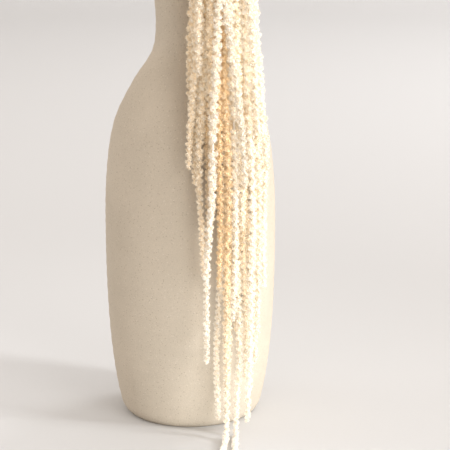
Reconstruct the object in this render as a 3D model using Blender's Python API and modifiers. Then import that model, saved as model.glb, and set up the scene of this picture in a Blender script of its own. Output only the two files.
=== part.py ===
"""A bunch of hanging amaranthus in a tall stoneware vase.

Six cut stalks stand in the vase, lean in its neck and end just above its mouth. Each one
carries a flower spray that arches over the rim and hangs down the front of the vase, a
little to the right, as four to seven long tassels. The sprays lie in three layers, two
sprays side by side in each, three tassels lie over the front layer, and the two longest
tassels trail on the surface.

Units are metres, +Z is up, -Y is the front. The origin is the centre of the vase's foot.
"""

import bisect
import math
import random
from collections import namedtuple

import bmesh
import bpy
from mathutils import Vector

# The vase
VASE_HEIGHT = 0.500
BODY_RADIUS = 0.0904
WIDEST_LEVEL = 0.190
NECK_LEVEL = 0.418
WALL = 0.0055
FLOOR_THICKNESS = 0.008
RIM_ROUNDING = 0.0025
VASE_SIDES = 40
MERGE_WITHIN = 0.00001
# The outer radius at each height, from the foot to the lip.
OUTLINE = (
    (0.0, 0.0680),
    (0.008, 0.0745),
    (0.052, 0.0830),
    (0.110, 0.0883),
    (WIDEST_LEVEL, BODY_RADIUS),
    (0.262, 0.0885),
    (0.318, 0.0795),
    (0.360, 0.0592),
    (0.391, 0.0393),
    (NECK_LEVEL, 0.0350),
    (0.455, 0.0374),
    (VASE_HEIGHT, 0.0450),
)
OUTER_LEVELS = (
    *(0.0, 0.003, 0.010, 0.052, 0.110, WIDEST_LEVEL, 0.262, 0.295),
    *(0.320, 0.342, 0.362, 0.379, 0.393, 0.404, NECK_LEVEL, 0.455, 0.480),
)
INNER_LEVELS = (0.485, 0.455, NECK_LEVEL, 0.390, 0.360, 0.318, 0.262, 0.160, 0.060, 0.016)

# The stalks: how far each one stands to the side at its foot, in the neck and at its top.
STALK_RADIUS = 0.0028
FOOT_SIDE = 0.017
NECK_SIDE = 0.0095
TOP_SIDE = 0.012
STALK_TOP = 0.508
STALK_ENTRY = 0.030
STALK_STRAIGHT_SHARE = 0.08
STALK_BEVEL = 2
CLEARANCE = 0.0003

# The drape: the way the whole bunch hangs, and the levels between which it is taut.
DRAPE_DEG = 30.0
MIDDLE_DEG = 22.5
RIM_LEVEL = 0.490
BODY_LEVEL = 0.290
CURTAIN_RADIUS = 0.090
TAUTNESS = 1.2
# The share of the vase's taper towards the foot that a hanging or a trailing tassel follows.
HANGING_FOLLOW = 0.55
TRAILING_FOLLOW = 0.25
BEND_LEVEL = 0.020
TRAIL_LENGTH = 0.046
TRAIL_REST = 0.0028
TRAIL_TURN = Vector((-0.52, -0.7, 0.0))
# A whole layer drifts sideways as one, each tassel sways a little inside the room that its
# neighbours leave it, and one that lies over its layer sways more.
LANE_SWAY = 0.0004
OVER_SWAY = 0.0008
SWAY_OUTWARDS = 0.0004
FREE_DROP = 0.10
# How fast the waves turn with height, in radians per metre, and how far a layer's wave is
# shifted with its distance from the body and with the azimuth, and a tassel's own wave
DRIFT_WAVE = 24.0
SWAY_WAVE = 41.0
OUTWARD_WAVE = 47.0
DRIFT_SHIFT_PER_METRE = 300.0
DRIFT_SHIFT_PER_DEG = 0.06
SWAY_SHIFT_PER_DEG = 2.3
# How finely the lines are drawn
HANG_STEP = 0.012
ARCH_STEPS = 24
BRANCH_STEPS = 10
BEND_STEPS = 6
TRAIL_STEPS = 4
STALK_STEPS = 6

# The tassels, and the rachis that carries those of one spray
RACHIS_RADIUS = 0.0052
TASSEL_RADIUS = 0.0038
TIP_RADIUS = 0.0026
# A tassel is thinner at its root, is full between two shares of its length and then thins.
ROOT_SHARE = 0.80
FULL_FROM = 0.25
FULL_TO = 0.50
TIP_SHARE = 0.30
# A side tassel leaves the rachis at this share of its length, and sooner by a step for each
# lane that lies between it and the leading tassel.
FIRST_BRANCH = 0.80
BRANCH_STEP = 0.13
LANE_DEG = 6.5
# A side branch's curve, as shares of its way sideways, outwards and down
BRANCH_SIDEWAYS = 0.45
BRANCH_OUTWARDS = 0.35
BRANCH_DROP = 0.75
TIP_LENGTH = 0.012
RING_PITCH = 0.0115
RING_SIDES = 6
# How far the clusters stand out and the hollows between them sink in, as shares of the radius
CLUSTER_SHARES = (0.86, 1.0)
HOLLOW_SHARES = (0.46, 0.66)
CLUSTER_SEED = 7

# How one layer of the bunch lies, measured outwards from the vase's axis: beyond the body
# where it hangs, then at the stalk's top, in the neck, at the stalk's foot and at the rim.
Layer = namedtuple("Layer", "beyond_body mouth_out neck_out foot_out rim_out rise spread_per_deg drift")
LAYERS = {
    "back": Layer(0.0048, 0.027, 0.0195, -0.040, 0.053, 0.040, 0.00126, 0.0024),
    "middle": Layer(0.0134, 0.013, 0.0085, -0.047, 0.064, 0.066, 0.00146, 0.0024),
    "front": Layer(0.0222, -0.001, -0.0030, -0.055, 0.075, 0.092, 0.00153, 0.0010),
}

# A tassel hangs at an azimuth, in degrees to the right of the front, down to a tip height. It
# may lie over its layer by some distance, cross the rim in another lane than its own, and
# slide to the right with height, by some degrees between the surface and the rim.
Tassel = namedtuple(
    "Tassel", "azimuth_deg tip_height over rim_deg slide_deg", defaults=(0.0, None, 0.0)
)
Spray = namedtuple("Spray", "name layer leader tassels")
ON_SURFACE = 0.0
OVER = 0.0090
SPRAYS = (
    Spray("front_left", "front", 2, (
        Tassel(5.0, 0.380),
        Tassel(12.0, 0.234),
        Tassel(16.1, 0.166),
        Tassel(20.4, ON_SURFACE),
        Tassel(24.5, 0.129),
        Tassel(7.0, 0.088, OVER, 15.0, 6.8),
        Tassel(27.0, 0.270, OVER, 14.5, 1.5),
    )),
    Spray("front_right", "front", 1, (
        Tassel(28.6, 0.226),
        Tassel(34.8, 0.013),
        Tassel(38.9, 0.105),
        Tassel(43.2, 0.315),
        Tassel(37.2, 0.320, OVER, 34.0),
    )),
    Spray("middle_left", "middle", 2, (
        Tassel(-0.9, 0.287, slide_deg=4.5),
        Tassel(7.6, 0.173),
        Tassel(14.0, 0.228),
        Tassel(22.4, 0.055),
    )),
    Spray("middle_right", "middle", 0, (
        Tassel(28.8, ON_SURFACE),
        Tassel(34.0, 0.060),
        Tassel(40.6, 0.075),
        Tassel(47.6, 0.190),
    )),
    Spray("back_left", "back", 2, (
        Tassel(-5.1, 0.300, slide_deg=9.2),
        Tassel(-5.7, 0.270, slide_deg=14.7),
        Tassel(8.6, 0.200, slide_deg=4.8),
        Tassel(19.2, 0.014),
    )),
    Spray("back_right", "back", 2, (
        Tassel(24.9, 0.145),
        Tassel(31.2, 0.110),
        Tassel(38.4, 0.090),
        Tassel(46.0, 0.120),
        Tassel(53.8, 0.150),
    )),
)

# Colour and roughness of each material
STONEWARE = ((0.60, 0.53, 0.43, 1.0), 0.85)
STRAW = ((0.62, 0.48, 0.28, 1.0), 0.80)
CREAM = ((0.92, 0.82, 0.62, 1.0), 0.90)

OUTWARD = Vector((math.sin(math.radians(DRAPE_DEG)), -math.cos(math.radians(DRAPE_DEG)), 0.0))
SIDEWAYS = Vector((-OUTWARD.y, OUTWARD.x, 0.0))
UP = Vector((0.0, 0.0, 1.0))


def clear_scene():
    for obj in list(bpy.data.objects):
        bpy.data.objects.remove(obj, do_unlink=True)


def material(name, look):
    """A plain Principled material from a colour and a roughness."""
    colour, roughness = look
    made = bpy.data.materials.new(name)
    made.use_nodes = True
    shader = made.node_tree.nodes["Principled BSDF"]
    shader.inputs["Base Color"].default_value = colour
    shader.inputs["Roughness"].default_value = roughness
    made.diffuse_color = colour
    return made


def outline_slope(k):
    """How fast the outline's radius changes with height at its point k."""
    lower = OUTLINE[max(k - 1, 0)]
    upper = OUTLINE[min(k + 1, len(OUTLINE) - 1)]
    return (upper[1] - lower[1]) / (upper[0] - lower[0])


def outer_radius(height):
    """The vase's outer radius at a height, on a smooth curve through OUTLINE."""
    heights = [level for level, _ in OUTLINE]
    k = min(max(bisect.bisect_right(heights, height) - 1, 0), len(OUTLINE) - 2)
    (low, low_radius), (high, high_radius) = OUTLINE[k], OUTLINE[k + 1]
    span = high - low
    u = (height - low) / span
    return (
        (2 * u**3 - 3 * u**2 + 1) * low_radius
        + (u**3 - 2 * u**2 + u) * span * outline_slope(k)
        + (3 * u**2 - 2 * u**3) * high_radius
        + (u**3 - u**2) * span * outline_slope(k + 1)
    )


def vase_profile():
    """The half section, from the middle of the inner floor over the rim to the foot's middle."""
    inner = [(outer_radius(level) - WALL, level) for level in reversed(INNER_LEVELS)]
    outer = [(outer_radius(level), level) for level in reversed(OUTER_LEVELS)]
    lip = outer_radius(VASE_HEIGHT)
    rim = [
        (lip - WALL, VASE_HEIGHT - RIM_ROUNDING),
        (lip - WALL + RIM_ROUNDING / 2, VASE_HEIGHT),
        (lip - RIM_ROUNDING / 2, VASE_HEIGHT),
        (lip, VASE_HEIGHT - RIM_ROUNDING),
    ]
    inner_floor = [(0.0, FLOOR_THICKNESS), (inner[0][0] - WALL, FLOOR_THICKNESS)]
    return inner_floor + inner + rim + outer + [(0.0, 0.0)]


def build_vase(collection, finish):
    """The vase, turned from its half section."""
    profile = vase_profile()
    mesh = bpy.data.meshes.new("vase")
    corners = [(radius, 0.0, level) for radius, level in profile]
    edges = [(i, i + 1) for i in range(len(profile) - 1)]
    mesh.from_pydata(corners, edges, [])
    mesh.materials.append(finish)
    vase = bpy.data.objects.new("vase", mesh)
    collection.objects.link(vase)
    turn = vase.modifiers.new("turned", "SCREW")
    turn.steps = VASE_SIDES
    turn.render_steps = VASE_SIDES
    turn.use_merge_vertices = True
    turn.merge_threshold = MERGE_WITHIN
    turn.use_smooth_shade = True


def place(out, side, height):
    """A point from its distances outwards and sideways of the vase's axis."""
    return OUTWARD * out + SIDEWAYS * side + UP * height


def bezier(a, b, c, d, steps):
    """Points along one cubic Bezier."""
    made = []
    for i in range(steps + 1):
        u = i / steps
        v = 1.0 - u
        made.append(a * v**3 + b * (3 * v * v * u) + c * (3 * v * u * u) + d * u**3)
    return made


def hand(spray):
    """-1 for a spray on the left, 1 for one on the right."""
    return -1.0 if spray.name.endswith("left") else 1.0


def rim_point(layer, tassel):
    """Where a tassel hangs at the level of the rim."""
    azimuth_deg = tassel.rim_deg
    if azimuth_deg is None:
        azimuth_deg = tassel.azimuth_deg + tassel.slide_deg
    side = layer.spread_per_deg * (azimuth_deg - MIDDLE_DEG)
    out = layer.rim_out + tassel.over - side * side / (2 * CURTAIN_RADIUS)
    return place(out, side, RIM_LEVEL)


def stalk_top(spray):
    return place(LAYERS[spray.layer].mouth_out, hand(spray) * TOP_SIDE, STALK_TOP)


def arch(spray):
    """The rachis, from the stalk's end over the rim to where its leading tassel hangs."""
    layer = LAYERS[spray.layer]
    start = stalk_top(spray) + UP * CLEARANCE
    end = rim_point(layer, spray.tassels[spray.leader])
    return bezier(start, start + UP * layer.rise, end + UP * layer.rise, end, ARCH_STEPS)


def hang(layer, tassel):
    """Points down from the rim's level to the tip, or on along the surface."""
    at_rim = rim_point(layer, tassel)
    trails = tassel.tip_height == ON_SURFACE
    follow = TRAILING_FOLLOW if trails else HANGING_FOLLOW
    lowest = BEND_LEVEL if trails else tassel.tip_height
    steps = round((RIM_LEVEL - lowest) / HANG_STEP)
    made = []
    for i in range(steps + 1):
        height = RIM_LEVEL + (lowest - RIM_LEVEL) * i / steps
        azimuth = math.radians(tassel.azimuth_deg + tassel.slide_deg * height / RIM_LEVEL)
        heading = Vector((math.sin(azimuth), -math.cos(azimuth), 0.0))
        narrowing = BODY_RADIUS - outer_radius(min(height, WIDEST_LEVEL))
        reach = BODY_RADIUS + layer.beyond_body + tassel.over - follow * narrowing
        taut = max(0.0, (height - BODY_LEVEL) / (RIM_LEVEL - BODY_LEVEL)) ** TAUTNESS
        above = at_rim + UP * (height - RIM_LEVEL)
        point = (heading * reach + UP * height).lerp(above, taut)
        made.append(point + sway(layer, tassel, height, heading))
    if trails:
        made += trail(made[-1], heading)
    return made


def sway(layer, tassel, height, heading):
    """The slow waves of a layer and of a tassel in it, still at the rim and full below it."""
    free = min(1.0, (RIM_LEVEL - height) / FREE_DROP)
    shift = tassel.azimuth_deg * SWAY_SHIFT_PER_DEG
    own = OVER_SWAY if tassel.over else LANE_SWAY
    layer_shift = layer.beyond_body * DRIFT_SHIFT_PER_METRE + tassel.azimuth_deg * DRIFT_SHIFT_PER_DEG
    drift = layer.drift * math.sin(height * DRIFT_WAVE + layer_shift)
    sideways = drift + own * math.sin(height * SWAY_WAVE + shift)
    outwards = SWAY_OUTWARDS * math.sin(height * OUTWARD_WAVE + 2 * shift)
    across = Vector((-heading.y, heading.x, 0.0))
    return (across * sideways + heading * outwards) * free


def trail(foot, heading):
    """The end of a long tassel, which bends forwards on to the surface and lies there."""
    forwards = (heading + TRAIL_TURN).normalized()
    bend = foot.z - TRAIL_REST
    made = []
    for i in range(1, BEND_STEPS + 1):
        angle = math.pi / 2 * i / BEND_STEPS
        made.append(foot + forwards * (bend * (1 - math.cos(angle))) - UP * (bend * math.sin(angle)))
    landing = made[-1]
    for i in range(1, TRAIL_STEPS + 1):
        made.append(landing + forwards * (TRAIL_LENGTH * i / TRAIL_STEPS))
    return made


def side_branch(spray, index, rachis):
    """From the rachis to where this side tassel hangs at the rim's level."""
    layer = LAYERS[spray.layer]
    tassel = spray.tassels[index]
    leader = spray.tassels[spray.leader]
    lanes = abs(tassel.azimuth_deg - leader.azimuth_deg) / LANE_DEG
    root = rachis[round((len(rachis) - 1) * (FIRST_BRANCH - BRANCH_STEP * lanes))]
    end = rim_point(layer, tassel)
    away = end - root
    sideways = SIDEWAYS * (away.dot(SIDEWAYS) * BRANCH_SIDEWAYS)
    outwards = OUTWARD * (away.dot(OUTWARD) * BRANCH_OUTWARDS)
    above_end = end - UP * (away.z * BRANCH_DROP)
    return bezier(root, root + sideways + outwards, above_end, end, BRANCH_STEPS)


def even_points(points, pitch):
    """Points at about the pitch along a polyline."""
    lengths = [0.0]
    for a, b in zip(points, points[1:]):
        lengths.append(lengths[-1] + (b - a).length)
    count = round(lengths[-1] / pitch)
    made = []
    for i in range(count + 1):
        target = lengths[-1] * i / count
        k = min(max(bisect.bisect_right(lengths, target) - 1, 0), len(points) - 2)
        share = (target - lengths[k]) / (lengths[k + 1] - lengths[k])
        made.append(points[k].lerp(points[k + 1], share))
    return made


def tassel_radius(share, to_tip):
    """A tassel swells from its root, is full in its middle and then thins down to its tip."""
    swell = ROOT_SHARE + (1 - ROOT_SHARE) * min(1.0, share / FULL_FROM)
    thinning = (TIP_RADIUS / TASSEL_RADIUS) ** max(0.0, (share - FULL_TO) / (1 - FULL_TO))
    end = min(1.0, TIP_SHARE + to_tip / TIP_LENGTH)
    return TASSEL_RADIUS * swell * thinning * end


def knobbly_tube(name, points, radii):
    """A closed tube whose corners stand out and sink in by turns, ring after ring, as clusters do."""
    draw = random.Random(f"{CLUSTER_SEED} {name}")
    shape = bmesh.new()
    rings = []
    normal = (points[1] - points[0]).orthogonal()
    for i, point in enumerate(points):
        along = (points[min(i + 1, len(points) - 1)] - points[max(i - 1, 0)]).normalized()
        normal = (normal - along * normal.dot(along)).normalized()
        other = along.cross(normal)
        ring = []
        for j in range(RING_SIDES):
            angle = 2 * math.pi * j / RING_SIDES
            reach = radii[i] * draw.uniform(*(CLUSTER_SHARES if (i + j) % 2 else HOLLOW_SHARES))
            spoke = normal * math.cos(angle) + other * math.sin(angle)
            ring.append(shape.verts.new(point + spoke * reach))
        rings.append(ring)
    for lower, upper in zip(rings, rings[1:]):
        for j in range(RING_SIDES):
            k = (j + 1) % RING_SIDES
            shape.faces.new((lower[j], lower[k], upper[k], upper[j]))
    shape.faces.new(rings[0])
    shape.faces.new(rings[-1])
    bmesh.ops.triangulate(shape, faces=shape.faces)
    bmesh.ops.recalc_face_normals(shape, faces=shape.faces)
    mesh = bpy.data.meshes.new(name)
    shape.to_mesh(mesh)
    shape.free()
    return bpy.data.objects.new(name, mesh)


def tassel_object(spray, index, rachis):
    """One tassel; the leading one is also the rachis that carries the others."""
    leads = index == spray.leader
    first = rachis if leads else side_branch(spray, index, rachis)
    down = hang(LAYERS[spray.layer], spray.tassels[index])
    points = even_points(first[:-1] + down, RING_PITCH)
    count = len(points) - 1
    arch_length = sum((b - a).length for a, b in zip(rachis, rachis[1:]))
    radii = []
    for i in range(count + 1):
        radius = tassel_radius(i / count, (count - i) * RING_PITCH)
        before_end = 1.0 - i * RING_PITCH / arch_length
        if leads and before_end > 0.0:
            radius = TASSEL_RADIUS + (RACHIS_RADIUS - TASSEL_RADIUS) * before_end
        radii.append(radius)
    return knobbly_tube(f"{spray.name}_{index}", points, radii)


def keep_outer_skin(mesh):
    """Fills the hollows that fusing seals and drops loose scraps: only the longest skin stays."""
    shape = bmesh.new()
    shape.from_mesh(mesh)
    unseen = set(shape.verts)
    skins = []
    while unseen:
        front = [unseen.pop()]
        skin = list(front)
        while front:
            near = {edge.other_vert(vert) for vert in front for edge in vert.link_edges} & unseen
            unseen -= near
            skin += near
            front = list(near)
        skins.append(skin)
    skins.sort(key=lambda skin: max(vert.co.z for vert in skin) - min(vert.co.z for vert in skin))
    for skin in skins[:-1]:
        bmesh.ops.delete(shape, geom=skin, context="VERTS")
    shape.to_mesh(mesh)
    shape.free()


def fuse(base, others):
    """Joins the others to the base with one Boolean union, then removes them."""
    branches = bpy.data.collections.new("branches")
    for other in others:
        branches.objects.link(other)
    union = base.modifiers.new("fused", "BOOLEAN")
    union.operation = "UNION"
    union.operand_type = "COLLECTION"
    union.collection = branches
    union.solver = "MANIFOLD"
    bpy.context.view_layer.update()
    graph = bpy.context.evaluated_depsgraph_get()
    mesh = bpy.data.meshes.new_from_object(base.evaluated_get(graph))
    keep_outer_skin(mesh)
    base.modifiers.clear()
    base.data = mesh
    for other in others:
        bpy.data.objects.remove(other, do_unlink=True)
    bpy.data.collections.remove(branches)


def build_spray(spray, collection, finish):
    """One flower spray: its rachis and its tassels, fused."""
    rachis = arch(spray)
    tassels = [tassel_object(spray, i, rachis) for i in range(len(spray.tassels))]
    made = tassels.pop(spray.leader)
    collection.objects.link(made)
    fuse(made, tassels)
    made.name = f"spray_{spray.name}"
    made.data.materials.clear()
    made.data.materials.append(finish)


def build_stalk(spray, collection, finish):
    """A cut stalk, from the vase's floor through the neck to the foot of its spray."""
    layer = LAYERS[spray.layer]
    side = hand(spray)
    foot = place(layer.foot_out, side * FOOT_SIDE, FLOOR_THICKNESS + CLEARANCE)
    neck = place(layer.neck_out, side * NECK_SIDE, NECK_LEVEL)
    top = stalk_top(spray)
    straight_on = neck + (neck - foot) * STALK_STRAIGHT_SHARE
    upper = bezier(neck, straight_on, top - UP * STALK_ENTRY, top, STALK_STEPS)
    lean = (neck - foot).normalized()
    # The cut end is square to the leaning stalk, so its middle stands higher than its edge.
    lifted = foot + UP * (STALK_RADIUS * math.sqrt(1 - lean.z**2))
    points = [lifted, lifted.lerp(neck, 0.5)] + upper
    curve = bpy.data.curves.new(f"stalk_{spray.name}", "CURVE")
    curve.dimensions = "3D"
    curve.bevel_depth = STALK_RADIUS
    curve.bevel_resolution = STALK_BEVEL
    curve.use_fill_caps = True
    line = curve.splines.new("POLY")
    line.points.add(len(points) - 1)
    for knot, point in zip(line.points, points):
        knot.co = (*point, 1.0)
    curve.materials.append(finish)
    stalk = bpy.data.objects.new(f"stalk_{spray.name}", curve)
    collection.objects.link(stalk)


def main():
    clear_scene()
    collection = bpy.data.collections.new("amaranthus_bunch")
    bpy.context.scene.collection.children.link(collection)
    build_vase(collection, material("stoneware", STONEWARE))
    straw = material("straw", STRAW)
    cream = material("cream", CREAM)
    for spray in SPRAYS:
        build_stalk(spray, collection, straw)
        build_spray(spray, collection, cream)


main()
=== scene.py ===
"""The looks of a bunch of hanging amaranthus in a tall stoneware vase.

Everything is in metres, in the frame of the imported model: +Z is up, -Y is the front, and the
origin is the centre of the vase's foot. The vase, the cut stalks and the flower sprays follow
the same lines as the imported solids, and take their place as finer meshes: the vase is turned
smoothly from the same outline, and each spray is made of small star-shaped florets, which
cover the knobs along its tassels. Round them stands a plain studio.
"""

from __future__ import annotations

import bisect
import logging
import math
from dataclasses import dataclass, field
from enum import Enum

import bpy
import numpy as np
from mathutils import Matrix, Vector

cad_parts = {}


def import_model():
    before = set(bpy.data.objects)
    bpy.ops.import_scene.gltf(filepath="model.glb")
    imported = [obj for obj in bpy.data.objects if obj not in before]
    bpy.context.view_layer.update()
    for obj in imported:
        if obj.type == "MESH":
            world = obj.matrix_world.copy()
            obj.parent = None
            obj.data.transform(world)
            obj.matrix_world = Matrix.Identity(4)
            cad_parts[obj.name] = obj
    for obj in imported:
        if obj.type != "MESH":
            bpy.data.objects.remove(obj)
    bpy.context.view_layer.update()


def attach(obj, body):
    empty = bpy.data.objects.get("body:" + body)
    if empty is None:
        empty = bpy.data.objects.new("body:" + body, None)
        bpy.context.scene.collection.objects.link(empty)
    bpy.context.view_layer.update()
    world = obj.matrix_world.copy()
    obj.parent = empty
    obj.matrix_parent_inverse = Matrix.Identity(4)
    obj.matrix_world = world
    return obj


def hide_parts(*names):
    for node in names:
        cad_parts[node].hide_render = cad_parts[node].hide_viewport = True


BODY = "root"
GOLDEN_ANGLE = math.pi * (3.0 - math.sqrt(5.0))
FIRST_TURN = (0.0, 6.0)
ASKEW = (0.31, 0.89, 0.33)
LEAST_STEPS = 3
TINY = 1e-6
UP = Vector((0.0, 0.0, 1.0))
LOG = logging.getLogger("amaranthus")

Socket = bpy.types.NodeSocket
Material = bpy.types.Material
Triple = tuple[float, float, float]
Pair = tuple[float, float]
Profile = list[Pair]


class Hand(Enum):
    """The side of the bunch that a spray hangs on."""

    LEFT = -1.0
    RIGHT = 1.0


class Depth(Enum):
    """How deep in the bunch a spray hangs."""

    BACK = "back"
    MIDDLE = "middle"
    FRONT = "front"


class Join(Enum):
    """How two values or two colours of a material are joined."""

    MIX = "MIX"
    ADD = "ADD"
    SUBTRACT = "SUBTRACT"
    MULTIPLY = "MULTIPLY"


# Finishes


class Recipe:
    """A short way to place and join the nodes of one material.

    Nearly all of a noise lies between its lower and its upper end.
    """

    noise_low: float = 0.3
    noise_high: float = 0.7

    def __init__(self, name: str) -> None:
        """Starts a material with its Principled shader.

        Args:
            name: The material's name.
        """
        self.material = bpy.data.materials.new(name)
        self.material.use_nodes = True
        self.tree = self.material.node_tree
        self.shader = self.tree.nodes["Principled BSDF"]

    def add(self, kind: str, **values: object) -> bpy.types.Node:
        """Places a node and sets its properties.

        Args:
            kind: The node's type.
            **values: Properties of the node, by name.

        Returns:
            The new node.
        """
        node = self.tree.nodes.new(kind)
        for name, value in values.items():
            setattr(node, name, value)
        return node

    def feed(self, socket: Socket, source: object) -> None:
        """Links a source to a socket, or sets the socket where the source is a plain value."""
        if isinstance(source, Socket):
            self.tree.links.new(source, socket)
        else:
            socket.default_value = source

    def place(self) -> Socket:
        """A point's place on the piece, in metres."""
        return self.add("ShaderNodeTexCoord").outputs["Object"]

    def stretched(self, where: Socket, scale: Triple) -> Socket:
        """The place, stretched along each axis.

        Args:
            where: The place to stretch.
            scale: How much each axis is multiplied by.

        Returns:
            The stretched place.
        """
        node = self.add("ShaderNodeMapping")
        self.feed(node.inputs["Vector"], where)
        self.feed(node.inputs["Scale"], scale)
        return node.outputs["Vector"]

    def noise(self, where: Socket, grain: float, detail: float = 2.0) -> Socket:
        """A soft random value between 0 and 1.

        Args:
            where: The place to read it at.
            grain: The size of its patches, in metres.
            detail: How many finer octaves it has.

        Returns:
            The value.
        """
        node = self.add("ShaderNodeTexNoise")
        self.feed(node.inputs["Vector"], where)
        self.feed(node.inputs["Scale"], 1.0 / grain)
        self.feed(node.inputs["Detail"], detail)
        return node.outputs["Fac"]

    def spots(self, where: Socket, spacing: float, near: float, far: float) -> Socket:
        """A value that is 1 in the middle of scattered spots and 0 between them.

        Args:
            where: The place to read it at.
            spacing: The distance between spots, in metres.
            near: The share of the spacing within which a spot is full.
            far: The share of the spacing at which it has faded.

        Returns:
            The value.
        """
        node = self.add("ShaderNodeTexVoronoi")
        self.feed(node.inputs["Vector"], where)
        self.feed(node.inputs["Scale"], 1.0 / spacing)
        return self.moved(node.outputs["Distance"], near, far, 1.0, 0.0)

    def moved(self, value: Socket, low: float, high: float, at_low: float, at_high: float) -> Socket:
        """Moves a value from one range to another, and holds it there.

        Args:
            value: The value.
            low: The lower end of its range.
            high: The upper end of its range.
            at_low: What it becomes at the lower end.
            at_high: What it becomes at the upper end.

        Returns:
            The moved value.
        """
        node = self.add("ShaderNodeMapRange")
        for socket, number in zip(node.inputs[:5], (value, low, high, at_low, at_high)):
            self.feed(socket, number)
        return node.outputs["Result"]

    def spread(self, noise: Socket, low: float, high: float) -> Socket:
        """A noise spread over the values between two limits."""
        return self.moved(noise, self.noise_low, self.noise_high, low, high)

    def maths(self, first: object, join: Join, second: object) -> Socket:
        """Works out a value from two values.

        Args:
            first: The first value.
            join: What is done with them.
            second: The second value.

        Returns:
            The result.
        """
        node = self.add("ShaderNodeMath", operation=join.value)
        self.feed(node.inputs[0], first)
        self.feed(node.inputs[1], second)
        return node.outputs["Value"]

    def mix(self, share: object, first: object, second: object, join: Join = Join.MIX) -> Socket:
        """Blends two colours.

        Args:
            share: How much of the second colour shows.
            first: The first colour.
            second: The second colour.
            join: How they are blended.

        Returns:
            The blended colour.
        """
        node = self.add("ShaderNodeMix", data_type="RGBA", blend_type=join.value)
        # The node's colours are its inputs 6 and 7, and output 2
        for place, source in ((0, share), (6, first), (7, second)):
            self.feed(node.inputs[place], source)
        return node.outputs[2]

    def ramp(self, value: Socket, stops: tuple[tuple[float, Triple], ...]) -> Socket:
        """A colour from a value.

        Args:
            value: The value.
            stops: The colour at each of some values.

        Returns:
            The colour.
        """
        node = self.add("ShaderNodeValToRGB")
        self.feed(node.inputs["Fac"], value)
        elements = node.color_ramp.elements
        while len(elements) < len(stops):
            elements.new(1.0)
        for element, (position, colour) in zip(elements, stops):
            element.position = position
            element.color = (*colour, 1.0)
        return node.outputs["Color"]

    def attribute(self, name: str) -> Socket:
        """A value that the mesh holds for each of its points."""
        return self.add("ShaderNodeAttribute", attribute_name=name).outputs["Fac"]

    def dress(
        self, colour: Socket, roughness: Socket, specular: float, height: Socket, depth: float
    ) -> Material:
        """Joins a surface's looks to the shader.

        Args:
            colour: Its colour.
            roughness: Its roughness.
            specular: How strongly it mirrors light that falls straight on it.
            height: How far it is raised, from 0 to 1.
            depth: How high the fully raised surface stands, in metres.

        Returns:
            The finished material.
        """
        node = self.add("ShaderNodeBump")
        self.feed(node.inputs["Strength"], 1.0)
        self.feed(node.inputs["Distance"], depth)
        self.feed(node.inputs["Height"], height)
        looks = (("Base Color", colour), ("Roughness", roughness), ("Specular IOR Level", specular))
        for name, source in (*looks, ("Normal", node.outputs["Normal"])):
            self.feed(self.shader.inputs[name], source)
        return self.material


@dataclass(frozen=True)
class StonewareFinish:
    """Matte, warm grey stoneware with a sandy grain and fine specks."""

    clay: Triple = (0.61, 0.53, 0.425)
    cloudy: Triple = (0.57, 0.495, 0.395)
    dark_speck: Triple = (0.36, 0.29, 0.21)
    pale_speck: Triple = (0.80, 0.73, 0.64)
    cloud_size: float = 0.055
    cloud_span: Pair = (0.35, 0.65)
    grain_size: float = 0.0011
    grain_shade: Pair = (0.93, 1.05)
    grain_depth: float = 0.00022
    speck_spacing: float = 0.0034
    dark_reach: Pair = (0.08, 0.22)
    dark_strength: float = 0.7
    dark_pit: float = 0.6
    pale_reach: Pair = (0.04, 0.20)
    pale_strength: float = 0.5
    pale_spread: float = 0.83
    roughness: Pair = (0.74, 0.90)
    specular: float = 0.3

    def material(self) -> Material:
        """Makes the material.

        Returns:
            The stoneware material.
        """
        made = Recipe("stoneware_matte")
        where = made.place()
        clouds = made.moved(made.noise(where, self.cloud_size, detail=3.0), *self.cloud_span, 0.0, 1.0)
        colour = made.mix(clouds, (*self.clay, 1.0), (*self.cloudy, 1.0))
        grain = made.noise(where, self.grain_size)
        colour = made.mix(1.0, colour, made.spread(grain, *self.grain_shade), Join.MULTIPLY)
        dark = made.spots(where, self.speck_spacing, *self.dark_reach)
        shown = made.maths(dark, Join.MULTIPLY, self.dark_strength)
        colour = made.mix(shown, colour, (*self.dark_speck, 1.0))
        elsewhere = made.stretched(where, (self.pale_spread,) * 3)
        pale = made.spots(elsewhere, self.speck_spacing, *self.pale_reach)
        shown = made.maths(pale, Join.MULTIPLY, self.pale_strength)
        colour = made.mix(shown, colour, (*self.pale_speck, 1.0))
        height = made.maths(grain, Join.SUBTRACT, made.maths(dark, Join.MULTIPLY, self.dark_pit))
        rough = made.spread(grain, *self.roughness)
        return made.dress(colour, rough, self.specular, height, self.grain_depth)


@dataclass(frozen=True)
class StrawFinish:
    """A dried stalk: pale straw with lengthwise fibres and darker scars."""

    pale: Triple = (0.72, 0.58, 0.36)
    deep: Triple = (0.45, 0.31, 0.15)
    fibre: float = 0.0007
    fibre_length: float = 0.03
    fibre_depth: float = 0.0002
    patch_size: float = 0.012
    patch_strength: float = 0.5
    streak_span: Pair = (0.55, 1.0)
    roughness: Pair = (0.6, 0.8)
    specular: float = 0.5

    def material(self) -> Material:
        """Makes the material.

        Returns:
            The straw material.
        """
        made = Recipe("straw_dried")
        drawn_out = (1.0, 1.0, self.fibre / self.fibre_length)
        along = made.stretched(made.place(), drawn_out)
        fibres = made.noise(along, self.fibre, detail=3.0)
        patches = made.maths(made.noise(made.place(), self.patch_size), Join.MULTIPLY, self.patch_strength)
        streaks = made.moved(made.maths(fibres, Join.ADD, patches), *self.streak_span, 0.0, 1.0)
        colour = made.mix(streaks, (*self.pale, 1.0), (*self.deep, 1.0))
        rough = made.spread(fibres, *self.roughness)
        return made.dress(colour, rough, self.specular, fibres, self.fibre_depth)


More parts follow.
